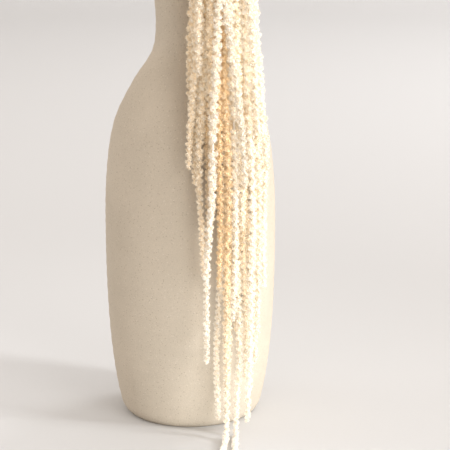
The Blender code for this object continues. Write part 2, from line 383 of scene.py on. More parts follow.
@dataclass(frozen=True)
class FlowerFinish:
    """Dried, bleached florets: nearly white at their points and golden down between them, partly their own
    golden bases and partly painted shade in the pits.
    """

    deep: Triple = (0.80, 0.51, 0.24)
    golden: Triple = (0.83, 0.625, 0.38)
    cream: Triple = (0.94, 0.845, 0.70)
    bleached: Triple = (0.96, 0.925, 0.885)
    golden_at: float = 0.35
    cream_at: float = 0.7
    patch_size: float = 0.014
    patch_shade: Pair = (0.92, 1.04)
    wrinkle_size: float = 0.00045
    wrinkle_depth: float = 0.00008
    roughness: Pair = (0.66, 0.84)
    specular: float = 0.25

    def material(self) -> Material:
        """Makes the material.

        Returns:
            The flowers' material.
        """
        made = Recipe("cream_florets")
        where = made.place()
        stops = (
            (0.0, self.deep),
            (self.golden_at, self.golden),
            (self.cream_at, self.cream),
            (1.0, self.bleached),
        )
        # The bleach attribute holds the florets' own bleaching, painted shade in the pits and on shaded
        # tassels, and painted light on the low tassels; the ramp turns it into colour.
        colour = made.ramp(made.attribute("bleach"), stops)
        patches = made.spread(made.noise(where, self.patch_size, detail=3.0), *self.patch_shade)
        shade = made.maths(patches, Join.MULTIPLY, made.attribute("tone"))
        colour = made.mix(1.0, colour, shade, Join.MULTIPLY)
        wrinkles = made.noise(where, self.wrinkle_size)
        rough = made.spread(wrinkles, *self.roughness)
        return made.dress(colour, rough, self.specular, wrinkles, self.wrinkle_depth)


@dataclass(frozen=True)
class PaperFinish:
    """The pale, matte sheet that the studio's floor and wall are made of."""

    colour: Triple = (0.65, 0.65, 0.65)
    tooth: float = 0.004
    tooth_shade: Pair = (0.985, 1.0)
    tooth_depth: float = 0.0001
    roughness: Pair = (0.86, 0.94)
    specular: float = 0.5

    def material(self) -> Material:
        """Makes the material.

        Returns:
            The sheet's material.
        """
        made = Recipe("studio_paper")
        tooth = made.noise(made.place(), self.tooth, detail=3.0)
        shade = made.spread(tooth, *self.tooth_shade)
        colour = made.mix(1.0, (*self.colour, 1.0), shade, Join.MULTIPLY)
        rough = made.spread(tooth, *self.roughness)
        return made.dress(colour, rough, self.specular, tooth, self.tooth_depth)


# Meshes


class Shape:
    """Triangles gathered from many small bodies, with two values for each point."""

    def __init__(self, smooth: bool) -> None:
        """Starts with nothing in it.

        Args:
            smooth: Whether its faces are shaded smoothly.
        """
        self.points: list[np.ndarray] = []
        self.faces: list[np.ndarray] = []
        self.bleach: list[np.ndarray] = []
        self.tone: list[np.ndarray] = []
        self.smooth = smooth
        self.count = 0

    def add(
        self, points: np.ndarray, faces: np.ndarray, bleach: object = 1.0, tone: object = 1.0
    ) -> None:
        """Adds one body or many alike.

        Args:
            points: The points, one row each.
            faces: The triangles, as three point numbers each.
            bleach: How bleached the points are, from 0 to 1.
            tone: How bright the points are, about 1.
        """
        self.points.append(points)
        self.faces.append(faces + self.count)
        # For the flowers the bleach values carry painted shade and painted light as well as the real
        # bleaching.
        self.bleach.append(np.broadcast_to(bleach, len(points)))
        self.tone.append(np.broadcast_to(tone, len(points)))
        self.count += len(points)

    def to_object(self, name: str, finish: Material) -> bpy.types.Object:
        """Makes one mesh object of everything that was added.

        Args:
            name: The object's name.
            finish: Its material.

        Returns:
            The new object, linked to the scene.
        """
        points = np.concatenate(self.points).astype(np.float32)
        faces = np.concatenate(self.faces).astype(np.int32)
        mesh = bpy.data.meshes.new(name)
        mesh.vertices.add(len(points))
        mesh.vertices.foreach_set("co", points.ravel())
        mesh.loops.add(faces.size)
        mesh.loops.foreach_set("vertex_index", faces.ravel())
        mesh.polygons.add(len(faces))
        mesh.polygons.foreach_set("loop_start", np.arange(0, faces.size, 3, dtype=np.int32))
        mesh.polygons.foreach_set("use_smooth", np.full(len(faces), self.smooth))
        for label, values in (("bleach", self.bleach), ("tone", self.tone)):
            held = mesh.attributes.new(label, "FLOAT", "POINT")
            held.data.foreach_set("value", np.concatenate(values).astype(np.float32))
        mesh.materials.append(finish)
        mesh.update(calc_edges=True)
        made = bpy.data.objects.new(name, mesh)
        bpy.context.scene.collection.objects.link(made)
        return made


def tube_faces(rings: int, sides: int) -> np.ndarray:
    """The triangles of a closed tube: its rings of points come first, then one point for each end.

    Args:
        rings: How many rings it has.
        sides: How many points each ring has.

    Returns:
        The triangles, as three point numbers each.
    """
    ring = np.arange(rings - 1)[:, None] * sides
    near = np.arange(sides)
    far = (near + 1) % sides
    here, there = ring + near, ring + far
    walls = (here, there, here + sides, there, there + sides, here + sides)
    walls = np.stack(walls, axis=-1).reshape(-1, 3)
    first, last, last_ring = rings * sides, rings * sides + 1, (rings - 1) * sides
    start = np.stack((np.full(sides, first), far, near), axis=-1)
    end = np.stack((np.full(sides, last), last_ring + near, last_ring + far), axis=-1)
    return np.concatenate((walls, start, end))


def turned(profile: Profile, sides: int) -> Shape:
    """A half section turned about the upright axis.

    Args:
        profile: Pairs of radius and height.
        sides: How many points each ring has.

    Returns:
        The smooth shape.
    """
    points, faces = [], []
    for radius, height in profile:
        for j in range(sides):
            angle = 2 * math.pi * j / sides
            points.append((radius * math.cos(angle), radius * math.sin(angle), height))
    for i, ((radius, _), (next_radius, _)) in enumerate(zip(profile, profile[1:])):
        for j in range(sides):
            here, there = i * sides + j, i * sides + (j + 1) % sides
            if radius > 0.0:
                faces.append((here, here + sides, there))
            if next_radius > 0.0:
                faces.append((there, here + sides, there + sides))
    shape = Shape(smooth=True)
    shape.add(np.array(points), np.array(faces))
    return shape


def bezier(a: Vector, b: Vector, c: Vector, d: Vector, steps: int) -> list[Vector]:
    """Points along one cubic Bezier.

    Args:
        a: Where it starts.
        b: Its first handle.
        c: Its second handle.
        d: Where it ends.
        steps: How many steps it is divided into.

    Returns:
        The points, with both ends.
    """
    made = []
    for i in range(steps + 1):
        u = i / steps
        v = 1.0 - u
        made.append(a * v**3 + b * (3 * v * v * u) + c * (3 * v * u * u) + d * u**3)
    return made


def unit(vectors: np.ndarray) -> np.ndarray:
    """The same directions with length 1."""
    return vectors / np.linalg.norm(vectors, axis=-1, keepdims=True)


def square_to(directions: np.ndarray, hints: np.ndarray) -> tuple[np.ndarray, np.ndarray]:
    """Two directions at right angles to each other and to the given ones.

    Args:
        directions: Unit directions.
        hints: Directions near which the first answer lies.

    Returns:
        The two sets of unit directions.
    """
    first = unit(hints - directions * np.sum(hints * directions, axis=-1, keepdims=True))
    return first, np.cross(directions, first)


def ways_round(angles: np.ndarray, first: np.ndarray, second: np.ndarray) -> np.ndarray:
    """The directions at some angles, turning from a first direction towards a second one.

    Args:
        angles: The angles, one row for each pair of directions.
        first: The directions at angle 0.
        second: The directions a quarter turn on.

    Returns:
        A unit direction for each angle.
    """
    return np.cos(angles)[..., None] * first[:, None] + np.sin(angles)[..., None] * second[:, None]


# The vase


@dataclass(frozen=True)
class VaseForm:
    """The vase's outer shape: its radius at each height, on a smooth curve."""

    height: float = 0.500
    body_radius: float = 0.0904
    widest_level: float = 0.190
    neck_level: float = 0.418
    outline: tuple[Pair, ...] = (
        (0.0, 0.0680),
        (0.008, 0.0745),
        (0.052, 0.0830),
        (0.110, 0.0883),
        (0.190, 0.0904),
        (0.262, 0.0885),
        (0.318, 0.0795),
        (0.360, 0.0592),
        (0.391, 0.0393),
        (0.418, 0.0350),
        (0.455, 0.0374),
        (0.500, 0.0450),
    )

    def slope(self, k: int) -> float:
        """How fast the radius changes with height at one of the outline's points.

        Args:
            k: The point's place in the outline.

        Returns:
            The change of the radius for each metre of height.
        """
        lower = self.outline[max(k - 1, 0)]
        upper = self.outline[min(k + 1, len(self.outline) - 1)]
        return (upper[1] - lower[1]) / (upper[0] - lower[0])

    def radius(self, height: float) -> float:
        """The outer radius at a height.

        Args:
            height: The height above the foot.

        Returns:
            The radius.
        """
        heights = [level for level, _ in self.outline]
        k = min(max(bisect.bisect_right(heights, height) - 1, 0), len(self.outline) - 2)
        (low, low_radius), (high, high_radius) = self.outline[k], self.outline[k + 1]
        span = high - low
        u = (height - low) / span
        return (
            (2 * u**3 - 3 * u**2 + 1) * low_radius
            + (u**3 - 2 * u**2 + u) * span * self.slope(k)
            + (3 * u**2 - 2 * u**3) * high_radius
            + (u**3 - u**2) * span * self.slope(k + 1)
        )


@dataclass(frozen=True)
class Vase:
    """The vase: a turned stoneware shell with a rounded lip and a softened foot."""

    form: VaseForm
    wall: float = 0.0055
    floor_thickness: float = 0.008
    foot_rounding: float = 0.0012
    sides: int = 128
    level_step: float = 0.0042
    lip_steps: int = 8
    unevenness: float = 0.00018
    ring_spacing: float = 0.013
    ring_drift: float = 3.0
    ring_drift_rate: float = 31.0
    inner_ring: float = 0.6
    corner_share: float = 0.3
    foot_curve: Pair = (0.3, 0.4)

    def wobble(self, height: float) -> float:
        """The faint rings that turning leaves, as a change of the radius."""
        drift = self.ring_drift * math.sin(height * self.ring_drift_rate)
        return self.unevenness * math.sin(2 * math.pi * height / self.ring_spacing + drift)

    def profile(self) -> Profile:
        """The half section, from the middle of the inner floor over the lip to the foot's middle.

        Returns:
            Pairs of radius and height.
        """
        half_wall = self.wall / 2
        lip_height = self.form.height - half_wall
        steps = round(lip_height / self.level_step)
        levels = [lip_height * i / steps for i in range(steps + 1)]
        lowest = self.floor_thickness + self.wall
        inner = [(self.form.radius(z) - self.wall, z) for z in levels if z > lowest]
        outer = [(self.form.radius(z) + self.wobble(z), z) for z in levels if z > self.foot_rounding]
        middle = self.form.radius(lip_height) - half_wall
        lip = []
        for i in range(1, self.lip_steps):
            angle = math.pi * i / self.lip_steps
            lip.append((middle - half_wall * math.cos(angle), lip_height + half_wall * math.sin(angle)))
        corner = inner[0][0] - self.wall
        bottom = [(radius, self.floor_thickness) for radius in (0.0, corner * self.inner_ring, corner)]
        rounding = self.wall * self.corner_share
        bottom.append((inner[0][0] - rounding, self.floor_thickness + rounding))
        foot_radius = self.form.radius(0.0)
        aside, above = self.foot_curve
        foot = [(foot_radius + self.foot_rounding * aside, self.foot_rounding * above)]
        foot += [(foot_radius - self.foot_rounding, 0.0), (0.0, 0.0)]
        return bottom + inner + lip + outer[::-1] + foot

    def build(self, finish: Material) -> bpy.types.Object:
        """Turns the half section and dresses it."""
        return turned(self.profile(), self.sides).to_object("stoneware_vase", finish)


# How the bunch hangs


@dataclass(frozen=True)
class Layer:
    """How one layer of the bunch lies, measured outwards from the vase's axis.

    The distances are those beyond the body where the layer hangs, then at the stalk's top, in
    the neck, at the stalk's foot and at the rim.
    """

    beyond_body: float
    mouth_out: float
    neck_out: float
    foot_out: float
    rim_out: float
    rise: float
    spread_per_deg: float
    drift: float


@dataclass(frozen=True)
class Tassel:
    """A tassel's lane, in degrees to the right of the front, and the height of its tip.

    It may lie over its layer by some distance, cross the rim in another lane than its own, slide
    to the right with height by some degrees between the surface and the rim, and be bare between
    two heights, where its knobs have fallen off. The less pale it is, the more golden: partly the
    tassel's own tone, and partly painted shade for tassels that hang in the shade of others.
    """

    azimuth_deg: float
    tip_height: float
    over: float = 0.0
    rim_deg: float | None = None
    slide_deg: float = 0.0
    bare: tuple[Pair, ...] = ()
    pale: float = 1.0

    @property
    def trails(self) -> bool:
        """Whether it reaches the surface and lies on it."""
        return self.tip_height == 0.0


@dataclass(frozen=True)
class SprayPlan:
    """Where one spray hangs, which of its tassels ends the rachis, and the tassels from left to right."""

    depth: Depth
    hand: Hand
    leader: int
    tassels: tuple[Tassel, ...]

    @property
    def name(self) -> str:
        """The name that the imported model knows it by."""
        return f"{self.depth.value}_{self.hand.name.lower()}"


@dataclass(frozen=True)
class Drape:
    """The lines along which stalks and tassels run."""

    form: VaseForm
    layers: dict[Depth, Layer]
    drape_deg: float = 30.0
    middle_deg: float = 22.5
    rim_level: float = 0.490
    body_level: float = 0.290
    curtain_radius: float = 0.090
    tautness: float = 1.2
    hanging_follow: float = 0.55
    trailing_follow: float = 0.25
    bend_level: float = 0.020
    trail_length: float = 0.046
    trail_rest: float = 0.0028
    trail_turn: Pair = (-0.52, -0.7)
    lane_sway: float = 0.0004
    over_sway: float = 0.0008
    sway_outwards: float = 0.0004
    drift_rate: float = 24.0
    sway_rate: float = 41.0
    outward_rate: float = 47.0
    layer_shift: float = 300.0
    drift_shift: float = 0.06
    sway_shift: float = 2.3
    free_drop: float = 0.10
    first_branch: float = 0.80
    branch_step: float = 0.13
    lane_deg: float = 6.5
    foot_side: float = 0.017
    neck_side: float = 0.0095
    top_side: float = 0.012
    stalk_top: float = 0.508
    stalk_entry: float = 0.030
    stalk_foot: float = 0.0083
    stalk_lean: float = 0.08
    branch_handles: Triple = (0.45, 0.35, 0.75)
    spike_rise: float = 0.35
    spike_shoulder: Pair = (0.8, 0.3)
    spike_end: Triple = (0.75, 0.35, 0.7)
    arch_steps: int = 48
    branch_steps: int = 24
    bend_steps: int = 12
    step: float = 0.004

    @property
    def outward(self) -> Vector:
        """The way the whole bunch hangs."""
        angle = math.radians(self.drape_deg)
        return Vector((math.sin(angle), -math.cos(angle), 0.0))

    @property
    def sideways(self) -> Vector:
        """The way to the right of the bunch."""
        return Vector((-self.outward.y, self.outward.x, 0.0))

    def place(self, out: float, side: float, height: float) -> Vector:
        """A point from its distances outwards and sideways of the vase's axis."""
        return self.outward * out + self.sideways * side + UP * height

    def rim_point(self, layer: Layer, tassel: Tassel) -> Vector:
        """Where a tassel hangs at the level of the rim.

        Args:
            layer: The tassel's layer.
            tassel: The tassel.

        Returns:
            The point.
        """
        azimuth_deg = tassel.rim_deg
        if azimuth_deg is None:
            azimuth_deg = tassel.azimuth_deg + tassel.slide_deg
        side = layer.spread_per_deg * (azimuth_deg - self.middle_deg)
        out = layer.rim_out + tassel.over - side * side / (2 * self.curtain_radius)
        return self.place(out, side, self.rim_level)

    def stalk_end(self, plan: SprayPlan) -> Vector:
        """Where a spray's stalk ends and its rachis begins."""
        out = self.layers[plan.depth].mouth_out
        return self.place(out, plan.hand.value * self.top_side, self.stalk_top)

    def arch(self, plan: SprayPlan) -> list[Vector]:
        """The rachis, from the stalk's end over the rim to where its leading tassel hangs.

        Args:
            plan: The spray.

        Returns:
            Points along it.
        """
        layer = self.layers[plan.depth]
        start = self.stalk_end(plan)
        end = self.rim_point(layer, plan.tassels[plan.leader])
        return bezier(start, start + UP * layer.rise, end + UP * layer.rise, end, self.arch_steps)

    def branch(self, plan: SprayPlan, tassel: Tassel, rachis: list[Vector]) -> list[Vector]:
        """From the rachis to where a side tassel hangs at the rim's level.

        Args:
            plan: The spray.
            tassel: The side tassel.
            rachis: Points along the spray's rachis.

        Returns:
            Points along the branch.
        """
        lanes = abs(tassel.azimuth_deg - plan.tassels[plan.leader].azimuth_deg) / self.lane_deg
        root = rachis[round((len(rachis) - 1) * (self.first_branch - self.branch_step * lanes))]
        end = self.rim_point(self.layers[plan.depth], tassel)
        away = end - root
        aside, outwards, down = self.branch_handles
        sideways = self.sideways * (away.dot(self.sideways) * aside)
        first = root + sideways + self.outward * (away.dot(self.outward) * outwards)
        return bezier(root, first, end - UP * (away.z * down), end, self.branch_steps)

    def spike(self, rachis: list[Vector], share: float, side: float, length: float) -> list[Vector]:
        """A short side spike, which leaves the rachis to one side and droops.

        Args:
            rachis: Points along the spray's rachis.
            share: How far along the rachis it starts, from 0 to 1.
            side: -1 where it leaves to the left, 1 to the right.
            length: About how long it is.

        Returns:
            Points along it.
        """
        index = round((len(rachis) - 1) * share)
        root = rachis[index]
        ahead = (rachis[index + 1] - rachis[index - 1]).normalized()
        aside = self.sideways * (side * length)
        rising = root + aside * self.spike_rise + ahead.cross(self.sideways) * (length * self.spike_rise)
        out, on = self.spike_shoulder
        shoulder = root + aside * out + ahead * (length * on)
        out, on, down = self.spike_end
        end = root + aside * out + ahead * (length * on) - UP * (length * down)
        return bezier(root, rising, shoulder, end, self.bend_steps)

    def sway(self, layer: Layer, tassel: Tassel, height: float, heading: Vector) -> Vector:
        """The slow waves of a layer and of a tassel in it, still at the rim and full below it.

        Args:
            layer: The tassel's layer.
            tassel: The tassel.
            height: The height on it.
            heading: The way from the vase's axis to its lane.

        Returns:
            How far it is moved there.
        """
        free = min(1.0, (self.rim_level - height) / self.free_drop)
        phase = tassel.azimuth_deg * self.sway_shift
        own = self.over_sway if tassel.over else self.lane_sway
        drift_phase = height * self.drift_rate + layer.beyond_body * self.layer_shift
        drift = layer.drift * math.sin(drift_phase + tassel.azimuth_deg * self.drift_shift)
        sideways = drift + own * math.sin(height * self.sway_rate + phase)
        outwards = self.sway_outwards * math.sin(height * self.outward_rate + 2 * phase)
        across = Vector((-heading.y, heading.x, 0.0))
        return (across * sideways + heading * outwards) * free

    def hang(self, layer: Layer, tassel: Tassel) -> list[Vector]:
        """The way of a tassel from the rim's level down to its tip, or on along the surface.

        Args:
            layer: The tassel's layer.
            tassel: The tassel.

        Returns:
            Points along it.
        """
        at_rim = self.rim_point(layer, tassel)
        follow = self.trailing_follow if tassel.trails else self.hanging_follow
        lowest = self.bend_level if tassel.trails else tassel.tip_height
        steps = round((self.rim_level - lowest) / self.step)
        made = []
        for i in range(steps + 1):
            height = self.rim_level + (lowest - self.rim_level) * i / steps
            azimuth = math.radians(tassel.azimuth_deg + tassel.slide_deg * height / self.rim_level)
            heading = Vector((math.sin(azimuth), -math.cos(azimuth), 0.0))
            narrowing = self.form.body_radius - self.form.radius(min(height, self.form.widest_level))
            reach = self.form.body_radius + layer.beyond_body + tassel.over - follow * narrowing
            above_body = max(0.0, (height - self.body_level) / (self.rim_level - self.body_level))
            above = at_rim + UP * (height - self.rim_level)
            point = (heading * reach + UP * height).lerp(above, above_body**self.tautness)
            made.append(point + self.sway(layer, tassel, height, heading))
        if tassel.trails:
            made += self.trail(made[-1], heading)
        return made

    def trail(self, foot: Vector, heading: Vector) -> list[Vector]:
        """The end of a long tassel, which bends forwards on to the surface and lies there.

        Args:
            foot: Where it starts to bend.
            heading: The way from the vase's axis to its lane.

        Returns:
            Points along it.
        """
        forwards = (heading + Vector((*self.trail_turn, 0.0))).normalized()
        bend = foot.z - self.trail_rest
        made = []
        steps = range(1, self.bend_steps + 1)
        for i in steps:
            angle = math.pi / 2 * i / self.bend_steps
            made.append(foot + forwards * (bend * (1 - math.cos(angle))) - UP * (bend * math.sin(angle)))
        landing = made[-1]
        return made + [landing + forwards * (self.trail_length * i / self.bend_steps) for i in steps]

    def stalk(self, plan: SprayPlan) -> list[Vector]:
        """The way of a stalk, from the vase's inner floor through the neck to its end.

        Args:
            plan: The spray that it carries.

        Returns:
            Points along it.
        """
        layer = self.layers[plan.depth]
        foot = self.place(layer.foot_out, plan.hand.value * self.foot_side, self.stalk_foot)
        neck = self.place(layer.neck_out, plan.hand.value * self.neck_side, self.form.neck_level)
        top = self.stalk_end(plan)
        lower = [foot.lerp(neck, i / self.branch_steps) for i in range(self.branch_steps)]
        handles = neck + (neck - foot) * self.stalk_lean, top - UP * self.stalk_entry
        return lower + bezier(neck, *handles, top, self.bend_steps)


class Strand:
    """A line through space in small even steps, with a frame at each one."""

    def __init__(self, points: list[Vector], pitch: float) -> None:
        """Lays the steps along a polyline.

        Args:
            points: The polyline's points.
            pitch: About how long a step is.
        """
        rough = np.array([tuple(point) for point in points])
        run = np.concatenate(([0.0], np.cumsum(np.linalg.norm(np.diff(rough, axis=0), axis=1))))
        self.length = float(run[-1])
        steps = max(LEAST_STEPS, round(self.length / pitch))
        self.runs = np.linspace(0.0, self.length, steps + 1)
        self.points = np.stack([np.interp(self.runs, run, rough[:, axis]) for axis in range(3)], axis=1)
        self.along = unit(np.gradient(self.points, axis=0))
        self.normal = self.carried_normal()
        self.side = np.cross(self.along, self.normal)

    def carried_normal(self) -> np.ndarray:
        """A direction across the line at each step that turns no more than the line does.

        Returns:
            The unit directions.
        """
        normal = np.cross(self.along[0], ASKEW)
        made = np.empty_like(self.points)
        for i, along in enumerate(self.along):
            normal = unit(normal - along * np.dot(normal, along))
            made[i] = normal
        return made

    def at(self, runs: np.ndarray, rows: np.ndarray) -> np.ndarray:
        """Rows of values, given at the steps, at some distances from the line's start."""
        return np.stack([np.interp(runs, self.runs, column) for column in rows.T], axis=1)


# The flowers


@dataclass(frozen=True)
class Florets:
    """The sizes of the knobs along a tassel and of the florets that stand on them.

    Knobs are sized in shares of the tassel's radius, and florets in shares of their knob's.
    """

    reach: float = 1.20
    ring_pitch: float = 0.00145
    sides: int = 13
    knob_pitch: float = 0.62
    pitch_play: Pair = (0.75, 1.25)
    knob_play: Pair = (0.86, 1.14)
    knob_stray: float = 0.2
    near_knobs: int = 4
    core_share: float = 0.34
    knob_size: float = 0.62
    knob_lean: float = 0.40
    end_share: float = 0.5
    crumple: float = 0.16
    crumple_turn: float = 0.6
    bare_radius: float = 0.0005
    # How much more golden the pits between knobs are than the knobs' tops: partly the florets' own golden
    # bases, partly painted shade in the recesses.
    golden_pit_and_shade: float = 0.40
    point_shade: float = 0.85
    florets: int = 22
    floret_wrap: float = 0.85
    floret_play: Pair = (0.1, 0.9)
    floret_foot: float = 0.72
    floret_stray: float = 0.05
    tepals: int = 5
    tepal_length: float = 0.74
    length_play: Pair = (0.8, 1.25)
    tepal_width: float = 0.30
    width_play: Pair = (0.85, 1.2)
    tepal_twist: float = 0.35
    tepal_stray: float = 0.15
    opening: float = 0.95
    opening_play: Pair = (0.6, 1.35)
    tilt_deg: Pair = (20.0, 46.0)
    tassel_tones: float = 0.025
    knob_tones: float = 0.035
    floret_tones: float = 0.03


@dataclass(frozen=True)
class Cover:
    """How the flowers cover one line: three values for each of its steps, and the whole line's tone.

    The values are the radius, whether knobs are there, and how bleached they are, with painted shade and
    painted light mixed in.
    """

    strand: Strand
    radii: np.ndarray
    full: np.ndarray
    pale: np.ndarray
    tone: float


@dataclass(frozen=True)
class Knobs:
    """Where the knobs of one line stand along it and round it, and the line's radius at each."""

    runs: np.ndarray
    angles: np.ndarray
    radii: np.ndarray


@dataclass
class FlowerSpray:
    """One flower spray: a rachis with its tassels and side spikes, all covered with knobs of florets."""

    plan: SprayPlan
    drape: Drape
    sizes: Florets = field(default_factory=Florets)
    tassel_radius: float = 0.0038
    tip_radius: float = 0.0026
    rachis_radius: float = 0.0052
    root_share: float = 0.80
    full_from: float = 0.25
    full_to: float = 0.50
    tip_share: float = 0.60
    tip_length: float = 0.010
    painted_light_below: float = 0.20
    bleached_above: float = 0.47
    bleach_fade: float = 0.04
    arch_bleach: float = 0.65
    spikes: int = 6
    spike_radius: float = 0.0031
    spike_taper: float = 0.45
    spike_span: Pair = (0.20, 0.92)
    spike_length: Pair = (0.020, 0.034)
    spike_place: Pair = (0.2, 0.8)
    spike_aside: Pair = (0.7, 1.1)
    clearance: float = 0.0003
    outline_steps: int = 400
    seed: int = 11

    def __post_init__(self) -> None:
        """Starts this spray's own random draws and its empty mesh."""
        self.draw = np.random.default_rng([self.seed, *self.plan.name.encode()])
        self.shape = Shape(smooth=False)

    def radii(self, strand: Strand, leads: bool, arch_length: float) -> np.ndarray:
        """How thick the flowers stand along one tassel.

        Args:
            strand: The tassel's line.
            leads: Whether it starts with the spray's rachis.
            arch_length: How long the rachis is.

        Returns:
            A radius for each of the line's steps.
        """
        share = strand.runs / strand.length
        swell = self.root_share + (1 - self.root_share) * np.minimum(1.0, share / self.full_from)
        thinning = np.maximum(0.0, (share - self.full_to) / (1 - self.full_to))
        thinning = (self.tip_radius / self.tassel_radius) ** thinning
        end = np.minimum(1.0, self.tip_share + (strand.length - strand.runs) / self.tip_length)
        radii = self.tassel_radius * swell * thinning * end
        if leads:
            before_end = np.maximum(0.0, 1.0 - strand.runs / arch_length)
            arched = self.tassel_radius + (self.rachis_radius - self.tassel_radius) * before_end
            radii = np.where(before_end > 0.0, arched, radii)
        return radii

    def fullness(self, strand: Strand, tassel: Tassel) -> np.ndarray:
        """1 where the tassel keeps its knobs and 0 where they have fallen off.

        Args:
            strand: The tassel's line.
            tassel: The tassel.

        Returns:
            A value for each of the line's steps.
        """
        full = np.ones(len(strand.runs))
        heights = strand.points[:, 2]
        for low, high in tassel.bare:
            full[(heights > low) & (heights < high)] = 0.0
        return full

    def paleness_and_painted_light(self, strand: Strand, tassel: Tassel) -> np.ndarray:
        """How bleached a tassel is: its own paleness, raised towards the surface as painted light on the
        tassels below the bunch's shade, and raised on the arch.

        Args:
            strand: The tassel's line.
            tassel: The tassel.

        Returns:
            A value for each of the line's steps.
        """
        heights = strand.points[:, 2]
        below = np.clip(1.0 - heights / self.painted_light_below, 0.0, 1.0)
        above = self.arch_bleach * np.clip((heights - self.bleached_above) / self.bleach_fade, 0.0, 1.0)
        return tassel.pale + (1.0 - tassel.pale) * (below + above)

    def bleach(self, pale: np.ndarray, height: np.ndarray) -> np.ndarray:
        """How bleached a point is: golden down between the knobs, partly the florets' own golden bases and
        partly painted shade in the pits, and nearly white on the florets' points.

        Args:
            pale: How bleached its tassel is there, with painted shade and painted light in it.
            height: How far out it stands, from 0 between the knobs to 1 on them.

        Returns:
            A value for each point.
        """
        deep = pale * (1.0 - self.sizes.golden_pit_and_shade)
        top = 1.0 - self.sizes.point_shade * (1.0 - pale)
        return deep + (top - deep) * height

    def knobs(self, cover: Cover) -> Knobs:
        """Spaces the knobs in a spiral along a line.

        Args:
            cover: The line and its cover.

        Returns:
            The line's knobs.
        """
        sizes, draw, steps = self.sizes, self.draw, cover.strand.runs
        runs = []
        run = sizes.knob_pitch * cover.radii[0]
        while run < cover.strand.length:
            if np.interp(run, steps, cover.full) > 0.5:
                runs.append(run)
            pitch = sizes.knob_pitch * float(np.interp(run, steps, cover.radii))
            run += pitch * draw.uniform(*sizes.pitch_play)
        count = len(runs)
        angles = np.arange(count) * GOLDEN_ANGLE + draw.normal(0.0, sizes.knob_stray, count)
        angles = angles + draw.uniform(*FIRST_TURN)
        radii = np.interp(runs, steps, cover.radii) * draw.uniform(*sizes.knob_play, count)
        return Knobs(np.array(runs), angles, radii)

    def relief(self, runs: np.ndarray, angles: np.ndarray, knobs: Knobs) -> np.ndarray:
        """How far the knobs raise the surface above the core.

        Args:
            runs: The distance along the line of each ring of points.
            angles: The angle of each point round the line.
            knobs: The line's knobs.

        Returns:
            The height of each point.
        """
        sizes = self.sizes
        rise = np.zeros_like(angles)
        nearest = np.searchsorted(knobs.runs, runs)
        for offset in range(-sizes.near_knobs, sizes.near_knobs):
            knob = np.clip(nearest + offset, 0, len(knobs.runs) - 1)
            radius = knobs.radii[knob][:, None]
            turn = (angles - knobs.angles[knob][:, None] + math.pi) % (2 * math.pi) - math.pi
            aside = turn * radius * (sizes.core_share + sizes.knob_size / 2)
            away = np.hypot(aside, (runs - knobs.runs[knob])[:, None])
            rise = np.maximum(rise, np.sqrt(np.maximum(0.0, (radius * sizes.knob_size) ** 2 - away**2)))
        return rise

    def body(self, cover: Cover, knobs: Knobs) -> None:
        """Adds a line's crumpled, knobbly surface, which is pale on its knobs and golden between them,
        partly as painted shade in the pits.

        Args:
            cover: The line and its cover.
            knobs: The line's knobs.
        """
        sizes, strand = self.sizes, cover.strand
        radii, full, pale = cover.radii[:, None], cover.full[:, None] > 0.5, cover.pale[:, None]
        count, sides = len(strand.runs), sizes.sides
        angles = 2 * math.pi * (np.arange(sides)[None, :] + 0.5 * (np.arange(count)[:, None] % 2)) / sides
        angles = angles + self.draw.normal(0.0, sizes.crumple * sizes.crumple_turn, angles.shape)
        rise = self.relief(strand.runs, angles, knobs)
        crumpled = self.draw.uniform(1 - sizes.crumple, 1 + sizes.crumple, angles.shape)
        reach = np.where(full, (sizes.core_share * radii + rise) * crumpled, sizes.bare_radius)
        rise = np.where(full, rise, 0.0)
        spokes = ways_round(angles, strand.normal, strand.side)
        leaned = strand.along[:, None] * (rise * sizes.knob_lean)[..., None]
        points = (strand.points[:, None] + spokes * reach[..., None] + leaned).reshape(-1, 3)
        beyond = strand.along[[0, -1]] * np.array([[-sizes.end_share], [sizes.end_share]])
        ends = strand.points[[0, -1]] + beyond * reach[[0, -1], :1]
        bleach = self.bleach(pale, np.clip(rise / (sizes.knob_size * radii), 0.0, 1.0))
        bleach = np.concatenate((np.where(full, bleach, pale).ravel(), cover.pale[[0, -1]]))
        self.shape.add(np.concatenate((points, ends)), tube_faces(count, sides), bleach, cover.tone)

    def florets(self, cover: Cover, knobs: Knobs) -> None:
        """Adds the florets of each knob, spread evenly over the side that it faces.

        Args:
            cover: The line and its cover.
            knobs: The line's knobs.
        """
        sizes, draw, strand = self.sizes, self.draw, cover.strand
        count = len(knobs.runs)
        along = unit(strand.at(knobs.runs, strand.along))
        normal, side = square_to(along, strand.at(knobs.runs, strand.normal))
        out = normal * np.cos(knobs.angles)[:, None] + side * np.sin(knobs.angles)[:, None]
        share = knobs.runs / strand.length
        tilt = np.radians(sizes.tilt_deg[0] + (sizes.tilt_deg[1] - sizes.tilt_deg[0]) * share)
        facing = out * np.cos(tilt)[:, None] + along * np.sin(tilt)[:, None]
        middle = strand.at(knobs.runs, strand.points) + out * (knobs.radii * sizes.core_share)[:, None]
        radius = knobs.radii * sizes.knob_size
        first, second = square_to(facing, along)
        number = np.arange(sizes.florets)[None, :]
        turn = number * GOLDEN_ANGLE + draw.uniform(*FIRST_TURN, (count, 1))
        spread = number + draw.uniform(*sizes.floret_play, turn.shape)
        ahead = 1.0 - sizes.floret_wrap * spread / sizes.florets
        lean = ways_round(turn, first, second) * np.sqrt(1.0 - ahead**2)[..., None]
        axis = facing[:, None] * ahead[..., None] + lean
        size = radius[:, None] * draw.uniform(*sizes.knob_play, turn.shape)
        foot = middle[:, None] + axis * (size * sizes.floret_foot)[..., None]
        shade = cover.tone * draw.normal(1.0, sizes.knob_tones, (count, 1))
        shade = shade * draw.normal(1.0, sizes.floret_tones, turn.shape)
        hint = np.broadcast_to(along[:, None], axis.shape)
